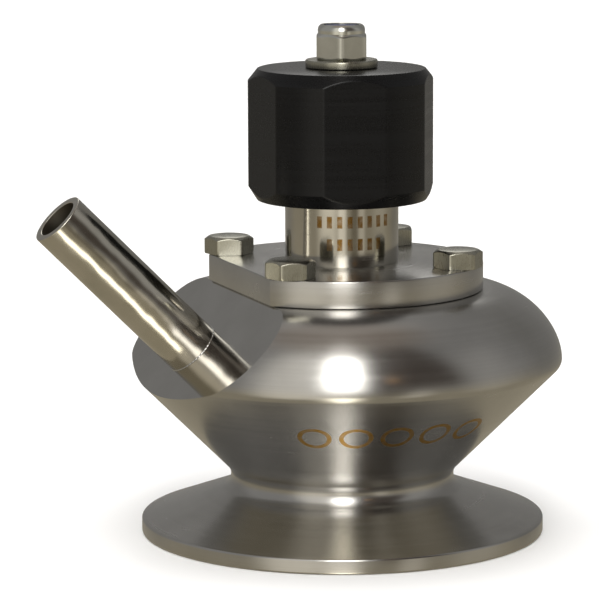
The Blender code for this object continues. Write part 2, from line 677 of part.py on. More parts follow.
def main():
    for obj in list(bpy.data.objects):
        bpy.data.objects.remove(obj)

    turned_steel = make_material("turned_steel", (0.42, 0.41, 0.38), 0.3, 1.0)
    polished_steel = make_material("polished_steel", (0.55, 0.53, 0.48), 0.15, 1.0)
    zinc_steel = make_material("bolt_steel", (0.5, 0.49, 0.43), 0.25, 1.0)
    black_plastic = make_material("black_plastic", (0.02, 0.02, 0.02), 0.35, 0.0)
    bronze = make_material("bronze", (0.55, 0.36, 0.16), 0.35, 1.0)
    rubber = make_material("black_rubber", (0.03, 0.03, 0.03), 0.6, 0.0)
    white_elastomer = make_material("white_elastomer", (0.8, 0.78, 0.72), 0.5, 0.0)
    nylon = make_material("nylon", (0.12, 0.14, 0.25), 0.4, 0.0)

    bolt_hole_cutters = [
        cylinder_cutter(
            f"bolt_hole_cutter_{i + 1}",
            BOLT_HOLE_RADIUS,
            BOLT_HOLE_BOTTOM,
            BOWL_TOP_HEIGHT + MM,
            Matrix.Translation(bolt_place(angle)),
        )
        for i, angle in enumerate(bolt_angles())
    ]
    make_valve_body(turned_steel, bolt_hole_cutters)
    make_outlet_tube(polished_steel)
    make_bonnet_flange(turned_steel)
    make_stem_housing(polished_steel)
    for i, angle in enumerate(bolt_angles()):
        make_bolt(f"bonnet_bolt_{i + 1}", angle, BOLT_HEAD_TURNS[i], zinc_steel)
    make_diaphragm(white_elastomer)
    make_anti_turn_pin(zinc_steel)
    make_stem_seal(rubber)
    ring(
        "thread_bush", SPINDLE_RADIUS + GAP, BUSH_RADIUS, HOUSING_BOTTOM, THREAD_BUSH_TOP, bronze
    )
    ring(
        "guide_bush",
        SPINDLE_RADIUS + GAP,
        BUSH_RADIUS,
        THREAD_BUSH_TOP + GAP,
        CIRCLIP_BOTTOM - GAP,
        bronze,
    )
    make_guide_circlip(zinc_steel)

    collar_top = COLLAR_BOTTOM + COLLAR_HEIGHT
    thrust_washer = ring(
        "thrust_washer",
        MM,
        POCKET_RADIUS - GAP,
        POCKET_FLOOR + GAP,
        COLLAR_BOTTOM - GAP,
        bronze,
        SMALL_STEPS,
    )
    stem_retainer = ring(
        "stem_retainer",
        WAIST_RADIUS + GAP,
        POCKET_RADIUS - GAP,
        collar_top + GAP,
        COMPRESSOR_TOP - GAP,
        zinc_steel,
        SMALL_STEPS,
    )
    lifted = [
        make_compressor(turned_steel),
        make_diaphragm_stud(zinc_steel),
        thrust_washer,
        stem_retainer,
    ]
    washer = ring(
        "knob_washer",
        WASHER_HOLE_RADIUS,
        WASHER_RADIUS,
        WASHER_BOTTOM,
        WASHER_BOTTOM + WASHER_THICKNESS,
        zinc_steel,
    )
    nut_top = NUT_BOTTOM + NUT_HEIGHT
    nut_insert = ring(
        "nut_insert",
        NUT_HOLE_RADIUS,
        INSERT_RADIUS,
        nut_top - INSERT_HEIGHT - 2 * GAP,
        nut_top - 2 * GAP,
        nylon,
        SMALL_STEPS,
    )
    turning = [
        make_hand_knob(black_plastic),
        make_spindle(polished_steel),
        washer,
        make_lock_nut(zinc_steel),
        nut_insert,
    ]
    plug_carriage = parent_to_axis("plug_carriage", lifted)
    hand_wheel = parent_to_axis("hand_wheel", turning)
    hand_wheel.parent = plug_carriage


main()
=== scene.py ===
"""Looks of the hand-operated diaphragm valve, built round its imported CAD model.

The frame is the CAD model's: metres, +Z up the valve's axis, origin at the centre of the
ferrule's face, outlet tube rising at 45 degrees towards -X.
"""

import math

import bmesh
import bpy
from mathutils import Matrix, Vector


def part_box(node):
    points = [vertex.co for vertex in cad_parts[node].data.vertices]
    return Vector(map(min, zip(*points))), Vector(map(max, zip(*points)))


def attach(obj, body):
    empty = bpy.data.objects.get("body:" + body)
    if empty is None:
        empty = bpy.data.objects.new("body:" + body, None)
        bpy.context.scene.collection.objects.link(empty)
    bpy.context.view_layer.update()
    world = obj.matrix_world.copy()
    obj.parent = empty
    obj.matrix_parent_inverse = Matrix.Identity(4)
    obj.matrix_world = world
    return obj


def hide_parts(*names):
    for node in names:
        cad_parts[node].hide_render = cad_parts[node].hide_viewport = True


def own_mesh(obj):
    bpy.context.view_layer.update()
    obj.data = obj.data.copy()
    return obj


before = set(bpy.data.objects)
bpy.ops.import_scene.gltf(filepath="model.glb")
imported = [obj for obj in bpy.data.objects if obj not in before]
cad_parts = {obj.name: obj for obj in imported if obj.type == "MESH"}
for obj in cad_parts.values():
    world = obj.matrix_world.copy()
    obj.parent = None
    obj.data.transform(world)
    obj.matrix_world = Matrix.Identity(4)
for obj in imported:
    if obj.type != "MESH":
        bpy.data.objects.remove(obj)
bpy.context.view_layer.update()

MM = 0.001
GAP = 0.3 * MM
JOINT = 0.06 * MM  # the thin dark line that shows between pieces that touch

# Sizes that the CAD model's boxes give.
BODY_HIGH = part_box("valve_body")[1]
PLATE_LOW, PLATE_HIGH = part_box("bonnet_flange")
HOUSING_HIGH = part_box("stem_housing")[1]
KNOB_LOW, KNOB_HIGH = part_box("hand_knob")
WASHER_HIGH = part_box("knob_washer")[1]
NUT_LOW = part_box("lock_nut")[0]
INSERT_LOW, INSERT_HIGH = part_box("nut_insert")
DIAPHRAGM_LOW, DIAPHRAGM_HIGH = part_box("diaphragm")

# Clamp ferrule and neck.
FERRULE_RADIUS = 45.45 * MM
FERRULE_EDGE_HEIGHT = 2.9 * MM
FERRULE_EDGE_ROUND = 0.5 * MM
FERRULE_SLOPE = math.radians(20)
GROOVE_RADIUS = 41.6 * MM
GROOVE_DEPTH = 1.6 * MM
NECK_RADIUS = 25.2 * MM

# Bowl, outside and inside.
CONE_ANGLE = math.radians(45)
BULGE_RADIUS = 49.5 * MM
BULGE_HEIGHT = 39.6 * MM
BULGE_EDGE_ROUND = 2.5 * MM
BOWL_TOP_RADIUS = 33.2 * MM
BOWL_TOP_HEIGHT = BODY_HIGH.z
SHOULDER_POWER = 1.13
PORT_RADIUS = 9.5 * MM
PORT_HEIGHT = 5.0 * MM
PORT_CHAMFER = 1.0 * MM
CHAMBER_LOW_RADIUS = 12.5 * MM
CHAMBER_LOW_HEIGHT = 8.0 * MM
CHAMBER_TOP_RADIUS = 18.5 * MM
SEATING_HEIGHT = 39.5 * MM
SEATING_RADIUS = 22.5 * MM

# Outlet.
OUTLET_AXIS_HEIGHT = 7.9 * MM
OUTLET_DIRECTION = Vector((-1, 0, 1)).normalized()
TUBE_RADIUS = 6.35 * MM
TUBE_BORE_RADIUS = 4.7 * MM
BORE_START = 12 * MM
TUBE_FOOT = 50.7 * MM
TUBE_END = 93.9 * MM
TUBE_LIP_ROUND = 0.25 * MM
WELD_RADIUS = 0.45 * MM
WELD_RIPPLE = 0.04 * MM
WELD_RIPPLES = 46

# Bonnet plate and stem housing.
PLATE_RADIUS = 31.7 * MM
PLATE_FLAT_DISTANCE = 24.6 * MM
PLATE_EDGE = 0.3 * MM
SPIGOT_RADIUS = 22.2 * MM
SPIGOT_BORE_RADIUS = 15.5 * MM
BONNET_CEILING = 57.5 * MM
STEM_HOLE_RADIUS = 6.2 * MM
SEAL_GROOVE_RADIUS = 8.3 * MM
SEAL_GROOVE_FROM = 58.5 * MM
SEAL_GROOVE_TO = 60.9 * MM
HOUSING_RADIUS = 12.7 * MM
HOUSING_BORE_RADIUS = 9.5 * MM
CIRCLIP_GROOVE_RADIUS = HOUSING_BORE_RADIUS + 0.7 * MM
CIRCLIP_GROOVE_FROM = 86.4 * MM
CIRCLIP_GROOVE_TO = 88.0 * MM

# Bolts.
BOLT_CIRCLE_RADIUS = 28.0 * MM
BOLT_ANGLES = [math.radians(a) for a in (225, 315, 45, 135)]
BOLT_HEAD_TURNS = [math.radians(a) for a in (48, 47, 12, 42)]
BOLT_HOLE_RADIUS = 3.0 * MM
BOLT_HOLE_BOTTOM = 44.0 * MM
BOLT_SHANK_RADIUS = 2.7 * MM
HEX_ACROSS_FLATS = 9.8 * MM

# Knob, washer and nut.
KNOB_RADIUS = 20.9 * MM
KNOB_TOP_FACE_RADIUS = 18.8 * MM
KNOB_BOTTOM_FACE_RADIUS = 19.0 * MM
KNOB_TOP_CHAMFER = 2.7 * MM
KNOB_BOTTOM_CHAMFER = 3.1 * MM
KNOB_BORE_RADIUS = 13.1 * MM
KNOB_HUB_BOTTOM = 90.3 * MM
KNOB_HUB_BORE = 4.8 * MM
KNOB_FLATS = 5
FIRST_KNOB_FLAT_ANGLE = math.radians(257.3)
KNOB_FLAT_DISTANCE = 19.68 * MM
WASHER_RADIUS = 8.05 * MM
WASHER_HOLE_RADIUS = 3.3 * MM
NUT_ACROSS_FLATS = 11.1 * MM
NUT_TURN = math.radians(8.5)
NUT_HEX_HEIGHT = 5.4 * MM
NUT_HEIGHT = 7.7 * MM
NUT_HOLE_RADIUS = 3.15 * MM
NUT_COLLAR_RADIUS = 5.35 * MM
NUT_COLLAR_ROUND = 1.6 * MM
NUT_COUNTERBORE_RADIUS = 4.0 * MM
INSERT_RADIUS = 3.7 * MM

# Diaphragm and the head of the stud in it.
CUP_FLOOR = 14.0 * MM
CUP_FLOOR_RADIUS = 6.2 * MM
KNEE_HEIGHT = 33.0 * MM
KNEE_OUTER_RADIUS = 13.6 * MM
KNEE_INNER_RADIUS = 11.2 * MM
RIM_OUTER_RADIUS = 17.8 * MM
RIM_INNER_RADIUS = 15.8 * MM
PLUG_OUTLINE = [
    (9.2 * MM, 15.0 * MM),
    (8.8 * MM, 10.5 * MM),
    (10.6 * MM, 7.6 * MM),
    (9.2 * MM, 4.8 * MM),
]
TIP_RADIUS = 9.2 * MM
STUD_RADIUS = 2.5 * MM
STUD_HEAD_RADIUS = 5.3 * MM
STUD_HEAD_BOTTOM = 4.0 * MM
STUD_HEAD_TOP = 6.3 * MM

# The camera, as measured from the valve's axis.
CAMERA_DISTANCE = 750 * MM
CAMERA_HEIGHT = 175 * MM
CAMERA_AZIMUTH = math.radians(248.5)
CAMERA_PITCH = math.radians(9.29)
CAMERA_YAW = math.radians(-0.72)
CAMERA_ROLL = math.radians(-0.22)
CAMERA_LENS = 202.7

STUDIO_TURN = math.radians(21.5)  # brings the camera's side to 0 degrees

# Soft light and shade in the world: side angle from the camera's, half width, lowest and highest
# elevation and softness in degrees, then strength and colour.
STUDIO_BOXES = [
    (1, 9.5, 4, 22, 5, 4.0, (1.0, 0.99, 0.96)),
    (1, 9.5, 22, 58, 5, 7.0, (1.0, 0.99, 0.96)),
    (1, 7.5, -25, 4, 4, 0.7, (1.0, 0.96, 0.88)),
    (1, 8, -100, -25, 4, 3.4, (1.0, 0.95, 0.79)),
    (1, 14, 50, 80, 10, 0.9, (1.0, 0.98, 0.95)),
    (-27, 18, -40, 62, 12, 0.6, (1.0, 0.96, 0.86)),
    (84, 16, -30, 40, 12, 0.12, (1.0, 0.97, 0.9)),
    (40, 7, -36, -2, 4, 0.3, (1.0, 0.96, 0.88)),
    (180, 8, 22, 56, 5, 2.0, (1.0, 0.99, 0.96)),
    (-180, 8, 22, 56, 5, 2.0, (1.0, 0.99, 0.96)),
    (180, 40, 60, 90, 8, 0.2, (1.0, 0.98, 0.95)),
    (-180, 40, 60, 90, 8, 0.2, (1.0, 0.98, 0.95)),
    (27, 2.5, 20, 28, 1.5, 0.7, (1.0, 0.55, 0.2)),
]
STUDIO_SHADES = [
    (0, 200, 66, 100, 8, 0.8, (0.30, 0.245, 0.20)),
    (180, 62, -12, 42, 14, 0.85, (0.215, 0.21, 0.20)),
    (-180, 62, -12, 42, 14, 0.8, (0.24, 0.235, 0.225)),
    (42, 25, 6, 68, 8, 0.85, (0.05, 0.035, 0.025)),
    (27, 8, -12, 6, 4, 0.6, (0.10, 0.08, 0.05)),
]

OVERHEAD_SPREAD = math.radians(65)
OVERHEAD_STRENGTH = 2.6

# Etched marks: rows of plain dashes on the stem housing, a row of plain rings on the lower cone.
MARK_END_EDGE = 0.05 * MM
DASH_EDGE = 0.12 * MM
RING_EDGE = 0.1 * MM
DASHES_COLOR = (0.2, 0.1, 0.012)
RINGS_COLOR = (0.42, 0.23, 0.03)
DASHES_ANGLE = math.radians(-8)
DASH_ROWS = [(71.6 * MM, 9.2 * MM), (66.6 * MM, 6.9 * MM)]
DASH_STEP = 2.3 * MM
DASH_SHARE = 0.5
DASH_HEIGHT = 2.6 * MM
RINGS_ANGLE = math.radians(-4)
RINGS_MIDDLE = (39.4 * MM, 28.5 * MM)
RINGS_STEP = 9.0 * MM
RINGS_HALF_LENGTH = 22.5 * MM
RING_RADIUS = 3.2 * MM
RING_LINE = 1.0 * MM

BODY_STEPS = 240
STEPS = 160
SMALL_STEPS = 96


# ---- Materials ----


def node(tree, kind, settings=None, **inputs):
    """A node with its settings, and inputs by name: a socket is linked and a value is set."""
    made = tree.nodes.new(kind)
    for key, value in (settings or {}).items():
        setattr(made, key, value)
    for key, value in inputs.items():
        connect(tree, made.inputs[key.replace("_", " ")], value)
    return made


def connect(tree, socket, value):
    if isinstance(value, bpy.types.NodeSocket):
        tree.links.new(value, socket)
    else:
        socket.default_value = value


def math_node(tree, operation, *values):
    made = tree.nodes.new("ShaderNodeMath")
    made.operation = operation
    for socket, value in zip(made.inputs, values):
        connect(tree, socket, value)
    return made.outputs[0]


def blended(tree, first, share, second):
    """A share of the first value, and the rest of the second."""
    part = math_node(tree, "MULTIPLY", first, share)
    rest = math_node(tree, "MULTIPLY", second, 1 - share)
    return math_node(tree, "ADD", part, rest)


def hypotenuse(tree, x, y):
    squares = [math_node(tree, "MULTIPLY", value, value) for value in (x, y)]
    return math_node(tree, "SQRT", math_node(tree, "ADD", *squares))


def map_range(tree, value, low, high, to_low, to_high, smooth=False):
    settings = {"interpolation_type": "SMOOTHSTEP" if smooth else "LINEAR"}
    made = node(
        tree,
        "ShaderNodeMapRange",
        settings,
        Value=value,
        From_Min=low,
        From_Max=high,
        To_Min=to_low,
        To_Max=to_high,
    )
    return made.outputs["Result"]


def mix_color(tree, factor, first, second):
    made = tree.nodes.new("ShaderNodeMix")
    made.data_type = "RGBA"
    connect(tree, made.inputs[0], factor)
    for socket, color in ((made.inputs[6], first), (made.inputs[7], second)):
        connect(tree, socket, color if isinstance(color, bpy.types.NodeSocket) else (*color, 1))
    return made.outputs[2]


def noise(tree, vector, scale, detail=2.0, roughness=0.5):
    made = node(
        tree,
        "ShaderNodeTexNoise",
        None,
        Vector=vector,
        Scale=scale,
        Detail=detail,
        Roughness=roughness,
    )
    return made.outputs["Fac"]


def bump(tree, height, distance, strength, normal=None):
    made = node(tree, "ShaderNodeBump", None, Height=height, Distance=distance, Strength=strength)
    if normal:
        connect(tree, made.inputs["Normal"], normal)
    return made.outputs["Normal"]


def new_material(name, **values):
    """A Principled material; each value goes on the shader's own socket."""
    material = bpy.data.materials.new(name)
    material.use_nodes = True
    tree = material.node_tree
    shader = tree.nodes["Principled BSDF"]
    for key, value in values.items():
        shader.inputs[key.replace("_", " ")].default_value = value
    return material, tree, shader


def color_by(tree, shader, value, low, high, first, second):
    """The colour goes from the first to the second as the value goes from low to high."""
    factor = map_range(tree, value, low, high, 0, 1)
    connect(tree, shader.inputs["Base Color"], mix_color(tree, factor, first, second))


def roughness_by(tree, shader, value, low, high, first, second):
    """The roughness goes from the first to the second as the value goes from low to high."""
    connect(tree, shader.inputs["Roughness"], map_range(tree, value, low, high, first, second))


def object_position(tree):
    return tree.nodes.new("ShaderNodeTexCoord").outputs["Object"]


def turned_position(tree):
    """(distance from the axis, height, 0): the same all round a turned piece."""
    xyz = node(tree, "ShaderNodeSeparateXYZ", None, Vector=object_position(tree))
    x, y, z = xyz.outputs
    return node(tree, "ShaderNodeCombineXYZ", None, X=hypotenuse(tree, x, y), Y=z).outputs[0]


def turned_metal(name, light, dark, roughness, line_depth, anisotropy=0.5):
    """Steel with fine marks of the lathe tool round it, and faint stains."""
    material, tree, shader = new_material(
        name, Metallic=1.0, Anisotropic=anisotropy, Anisotropic_Rotation=0.25
    )
    place = turned_position(tree)
    fine = noise(tree, place, 3200, 3, 0.7)
    coarse = noise(tree, place, 650, 2, 0.6)
    stains = noise(tree, object_position(tree), 55, 4, 0.6)
    lines = blended(tree, fine, 0.6, coarse)
    color_by(tree, shader, blended(tree, stains, 0.6, lines), 0.35, 0.65, dark, light)
    wear = blended(tree, stains, 0.5, coarse)
    roughness_by(tree, shader, wear, 0.35, 0.65, roughness * 0.85, roughness * 1.15)
    connect(tree, shader.inputs["Normal"], bump(tree, lines, line_depth, 1.0))
    tangent = node(tree, "ShaderNodeTangent", {"direction_type": "RADIAL", "axis": "Z"})
    connect(tree, shader.inputs["Tangent"], tangent.outputs[0])
    return material


def polished_metal(name, light, dark, roughness, scratch_depth=2e-7, wave_depth=0.0):
    """Steel polished by hand: nearly a mirror, with faint clouds, hairlines and waves."""
    material, tree, shader = new_material(name, Metallic=1.0)
    place = object_position(tree)
    clouds = noise(tree, place, 90, 3, 0.5)
    stretched = node(tree, "ShaderNodeMapping", None, Vector=place, Scale=(9000, 9000, 500))
    hairs = noise(tree, stretched.outputs[0], 1.0, 2, 0.6)
    color_by(tree, shader, clouds, 0.35, 0.65, dark, light)
    wear = blended(tree, clouds, 0.6, hairs)
    roughness_by(tree, shader, wear, 0.35, 0.65, roughness * 0.8, roughness * 1.25)
    waves = bump(tree, noise(tree, place, 150, 1, 0.4), wave_depth, 1.0)
    connect(tree, shader.inputs["Normal"], bump(tree, hairs, scratch_depth, 1.0, waves))
    return material


def machined_plastic(name, color, roughness):
    """Black plastic with the milling cutter's faint marks across its sides."""
    material, tree, shader = new_material(name, Metallic=0.0, IOR=1.29)
    place = object_position(tree)
    squeezed = node(tree, "ShaderNodeMapping", None, Vector=place, Scale=(25, 25, 900))
    cuts = noise(tree, squeezed.outputs[0], 1.0, 2, 0.5)
    grain = noise(tree, place, 1800, 2, 0.5)
    pale = tuple(c * 1.3 for c in color)
    color_by(tree, shader, cuts, 0.4, 0.7, color, pale)
    wear = blended(tree, cuts, 0.5, grain)
    roughness_by(tree, shader, wear, 0.35, 0.65, roughness * 0.9, roughness * 1.15)
    connect(tree, shader.inputs["Normal"], bump(tree, cuts, 5e-7, 1.0))
    return material


def moulded(name, color, pale, roughness, grain_scale, depth):
    """Rubber or nylon with a fine moulded grain."""
    material, tree, shader = new_material(name, Metallic=0.0)
    place = object_position(tree)
    grain = noise(tree, place, grain_scale, 3, 0.6)
    clouds = noise(tree, place, 120, 2, 0.5)
    color_by(tree, shader, clouds, 0.3, 0.7, color, pale)
    roughness_by(tree, shader, grain, 0.3, 0.7, roughness * 0.85, roughness * 1.15)
    connect(tree, shader.inputs["Normal"], bump(tree, grain, depth, 1.0))
    return material


def turned_place(tree, first, radius):
    """(length round the surface from an angle, height) of a turned piece; 0 degrees is at -Y."""
    xyz = node(tree, "ShaderNodeSeparateXYZ", None, Vector=object_position(tree))
    x, y, z = xyz.outputs
    angle = math_node(tree, "ARCTAN2", x, math_node(tree, "MULTIPLY", y, -1.0))
    return math_node(tree, "MULTIPLY", math_node(tree, "SUBTRACT", angle, first), radius), z


def band(tree, value, middle, half, edge):
    """1 within half of the middle and 0 beyond, with a soft edge."""
    off = math_node(tree, "ABSOLUTE", math_node(tree, "SUBTRACT", value, middle))
    return map_range(tree, off, half - edge, half + edge, 1, 0, True)


def dash_rows(tree):
    """Two rows of plain dashes round the front of the stem housing."""
    along, height = turned_place(tree, DASHES_ANGLE, HOUSING_RADIUS)
    rows = []
    for middle, half_length in DASH_ROWS:
        step = math_node(tree, "FRACT", math_node(tree, "DIVIDE", along, DASH_STEP))
        dashes = band(tree, step, 0.5, DASH_SHARE / 2, 0.04)
        inside = band(tree, along, 0.0, half_length, MARK_END_EDGE)
        row = band(tree, height, middle, DASH_HEIGHT / 2, DASH_EDGE)
        rows.append(math_node(tree, "MULTIPLY", math_node(tree, "MULTIPLY", dashes, inside), row))
    return math_node(tree, "ADD", *rows)


def ring_row(tree):
    """A row of plain rings round the front of the lower cone."""
    along, height = turned_place(tree, RINGS_ANGLE, RINGS_MIDDLE[0])
    inside = band(tree, along, 0.0, RINGS_HALF_LENGTH, MARK_END_EDGE)
    steps = math_node(tree, "DIVIDE", along, RINGS_STEP)
    step = math_node(tree, "FRACT", math_node(tree, "ADD", steps, 0.5))
    side = math_node(tree, "MULTIPLY", math_node(tree, "SUBTRACT", step, 0.5), RINGS_STEP)
    rise = math_node(tree, "SUBTRACT", height, RINGS_MIDDLE[1])
    up = math_node(tree, "DIVIDE", rise, math.sin(CONE_ANGLE))
    ring = band(tree, hypotenuse(tree, side, up), RING_RADIUS, RING_LINE / 2, RING_EDGE)
    return math_node(tree, "MULTIPLY", ring, inside)


def etch(material, mark, color):
    """Lays an etched mark over a metal: tinted where the mark is, and duller."""
    tree = material.node_tree
    shader = tree.nodes["Principled BSDF"]
    worn = map_range(tree, noise(tree, object_position(tree), 700, 3, 0.6), 0.3, 0.6, 0.6, 0.95)
    mask = math_node(tree, "MULTIPLY", mark(tree), worn)
    base = shader.inputs["Base Color"].links[0].from_socket
    connect(tree, shader.inputs["Base Color"], mix_color(tree, mask, base, color))
    rough = shader.inputs["Roughness"].links[0].from_socket
    duller = math_node(tree, "ADD", rough, math_node(tree, "MULTIPLY", mask, 0.15))
    connect(tree, shader.inputs["Roughness"], duller)


# ---- Mesh tools ----


def arc(center, radius, first, last, steps):
    """Points (radius, height) on an arc, between two angles in degrees."""
    points = []
    for i in range(steps + 1):
        angle = math.radians(first + (last - first) * i / steps)
        points.append((center[0] + radius * math.cos(angle), center[1] + radius * math.sin(angle)))
    return points


def divided(first, last, steps):
    """Points on a straight line, with both its ends."""
    return [
        (first[0] + (last[0] - first[0]) * i / steps, first[1] + (last[1] - first[1]) * i / steps)
        for i in range(steps + 1)
    ]


def even_angles(steps):
    return [math.tau * i / steps for i in range(steps)]


def turned(name, outline, angles, shape=None):
    """An object turned round Z from an outline of (radius, height), open if it ends on the axis.

    shape(radius, height, angle) gives the radius where the piece isn't round.
    """
    points = []
    rings = []
    for radius, height in outline:
        if radius == 0:
            rings.append([len(points)] * len(angles))
            points.append((0, 0, height))
            continue
        rings.append(list(range(len(points), len(points) + len(angles))))
        for angle in angles:
            here = shape(radius, height, angle) if shape else radius
            points.append((here * math.cos(angle), here * math.sin(angle), height))
    pairs = list(zip(rings, rings[1:]))
    if outline[0][0] > 0:
        pairs.append((rings[-1], rings[0]))
    faces = []
    for below, above in pairs:
        for i in range(len(angles)):
            j = (i + 1) % len(angles)
            corners = dict.fromkeys((below[i], below[j], above[j], above[i]))
            faces.append(tuple(corners))
    mesh = bpy.data.meshes.new(name)
    mesh.from_pydata(points, [], faces)
    obj = bpy.data.objects.new(name, mesh)
    bpy.context.scene.collection.objects.link(obj)
    face_outward(obj)
    return obj


def face_outward(obj):
    bm = bmesh.new()
    bm.from_mesh(obj.data)
    bmesh.ops.recalc_face_normals(bm, faces=bm.faces)
    bm.to_mesh(obj.data)
    bm.free()


def helper_box(name, low, high, matrix):
    bm = bmesh.new()
    bmesh.ops.create_cube(bm, size=1)
    size = Vector(high) - Vector(low)
    bmesh.ops.scale(bm, vec=size, verts=bm.verts)
    bmesh.ops.translate(bm, vec=Vector(low) + size / 2, verts=bm.verts)
    mesh = bpy.data.meshes.new(name)
    bm.to_mesh(mesh)
    bm.free()
    obj = bpy.data.objects.new(name, mesh)
    obj.matrix_world = matrix
    bpy.context.scene.collection.objects.link(obj)
    return obj


def helper_cylinder(name, radius, bottom, top, matrix, steps=SMALL_STEPS):
    outline = [(0, top), (radius, top), (radius, bottom), (0, bottom)]
    obj = turned(name, outline, even_angles(steps))
    obj.matrix_world = matrix
    return obj


def cut(obj, cutters):
    """Takes the cutters away for good. Faces that a cutter leaves keep the cutter's material."""
    for other in cutters:
        modifier = obj.modifiers.new("cut", "BOOLEAN")
        modifier.operation = "DIFFERENCE"
        modifier.solver = "EXACT"
        modifier.material_mode = "TRANSFER"
        modifier.object = other
    bpy.context.view_layer.update()
    graph = bpy.context.evaluated_depsgraph_get()
    mesh = bpy.data.meshes.new_from_object(obj.evaluated_get(graph))
    obj.modifiers.clear()
    obj.data = mesh
    for other in cutters:
        bpy.data.objects.remove(other)


def smooth(obj, degrees=28):
    """Shades round stretches smooth, and keeps an edge where the material changes."""
    mesh = obj.data
    mesh.shade_smooth()
    mesh.set_sharp_from_angle(angle=math.radians(degrees))
    bm = bmesh.new()
    bm.from_mesh(mesh)
    for edge in bm.edges:
        if len({face.material_index for face in edge.link_faces}) > 1:
            edge.smooth = False
    bm.to_mesh(mesh)
    bm.free()


def finish_piece(obj, material, body, slot, *nodes):
    """Gives a piece its material and body, and hides the CAD nodes that it stands for; the slot is
    not used.
    """
    if material:
        obj.data.materials.clear()
        obj.data.materials.append(material)
    smooth(obj)
    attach(obj, body)
    if nodes:
        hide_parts(*nodes)
    return obj


def outlet_matrix():
    """Z along the outlet's axis, from where it meets the valve's axis."""
    turn = Vector((0, 0, 1)).rotation_difference(OUTLET_DIRECTION)
    return Matrix.Translation((0, 0, OUTLET_AXIS_HEIGHT)) @ turn.to_matrix().to_4x4()


def flats_radius(distance, count, first, angle):
    """Radius at an angle of a prism with count flats, the first one facing first."""
    step = math.tau / count
    off = (angle - first + step / 2) % step - step / 2
    return distance / math.cos(off)


def soft_min(a, b, softness):
    """The smaller of two lengths, blended where they are nearly equal."""
    mix = max(softness - abs(a - b), 0) / softness
    return min(a, b) - mix * mix * softness / 4


# ---- Pieces that stay still ----


def ferrule_outline():
    """The ferrule from its bore out to its back slope: face, gasket groove, edge."""
    edge = FERRULE_EDGE_ROUND
    slope_normal = 90 - math.degrees(FERRULE_SLOPE)
    return [
        (PORT_RADIUS + PORT_CHAMFER, 0),
        (GROOVE_RADIUS - 8 * GROOVE_DEPTH, 0),
        *arc((GROOVE_RADIUS, 0), GROOVE_DEPTH, 180, 0, 12),
        *arc((FERRULE_RADIUS - edge, edge), edge, -90, 0, 6),
        *arc((FERRULE_RADIUS - edge, FERRULE_EDGE_HEIGHT), edge, 0, slope_normal, 6),
    ]


def neck_outline(slope_start, cone_end):
    """The back slope, the round neck tangent to it, and the cone below the bulge."""
    slope = math.tan(FERRULE_SLOPE)
    cone = math.tan(CONE_ANGLE)
    slope_at_axis = slope_start[1] + slope_start[0] * slope
    cone_at_axis = cone_end[1] - cone_end[0] * cone
    meet_radius = (slope_at_axis - cone_at_axis) / (cone + slope)
    meet_height = cone_at_axis + meet_radius * cone
    half = (CONE_ANGLE + FERRULE_SLOPE) / 2
    tilt = (CONE_ANGLE - FERRULE_SLOPE) / 2
    reach = (NECK_RADIUS - meet_radius) / (math.cos(tilt) - math.sin(half))
    center = (meet_radius + reach * math.cos(tilt), meet_height + reach * math.sin(tilt))
    first = 270 - math.degrees(FERRULE_SLOPE)
    last = 90 + math.degrees(CONE_ANGLE)
    waist = arc(center, reach * math.sin(half), first, last, 36)
    return [
        *divided(slope_start, waist[0], 16)[1:-1],
        *waist,
        *divided(waist[-1], cone_end, 24)[1:-1],
    ]


def bowl_outline():
    """The bowl from the end of its cone up: bulge, shoulder, top face."""
    edge = BULGE_EDGE_ROUND
    bulge = arc((BULGE_RADIUS - edge, BULGE_HEIGHT), edge, -math.degrees(CONE_ANGLE), 0, 14)
    shoulder = []
    steps = 64
    for i in range(1, steps + 1):
        angle = math.pi / 2 * i / steps
        across = math.cos(angle) ** SHOULDER_POWER if i < steps else 0
        up = math.sin(angle) ** SHOULDER_POWER
        radius = BOWL_TOP_RADIUS + (BULGE_RADIUS - BOWL_TOP_RADIUS) * across
        shoulder.append((radius, BULGE_HEIGHT + (BOWL_TOP_HEIGHT - BULGE_HEIGHT) * up))
    return [*bulge, *shoulder]


def bowl_inside_outline():
    return [
        (SEATING_RADIUS + 0.4 * MM, BOWL_TOP_HEIGHT),
        (SEATING_RADIUS, BOWL_TOP_HEIGHT - 0.4 * MM),
        (SEATING_RADIUS, SEATING_HEIGHT),
        (CHAMBER_TOP_RADIUS, SEATING_HEIGHT),
        (CHAMBER_LOW_RADIUS, CHAMBER_LOW_HEIGHT),
        (PORT_RADIUS, PORT_HEIGHT),
        (PORT_RADIUS, PORT_CHAMFER),
    ]


def bolt_place(angle):
    return Matrix.Translation(
        (math.cos(angle) * BOLT_CIRCLE_RADIUS, math.sin(angle) * BOLT_CIRCLE_RADIUS, 0)
    )


def bolt_hole_cutters(radius, bottom, top, metal):
    holes = []
    for angle in BOLT_ANGLES:
        hole = helper_cylinder("hole", radius, bottom, top, bolt_place(angle), 32)
        hole.data.materials.append(metal)
        holes.append(hole)
    return holes


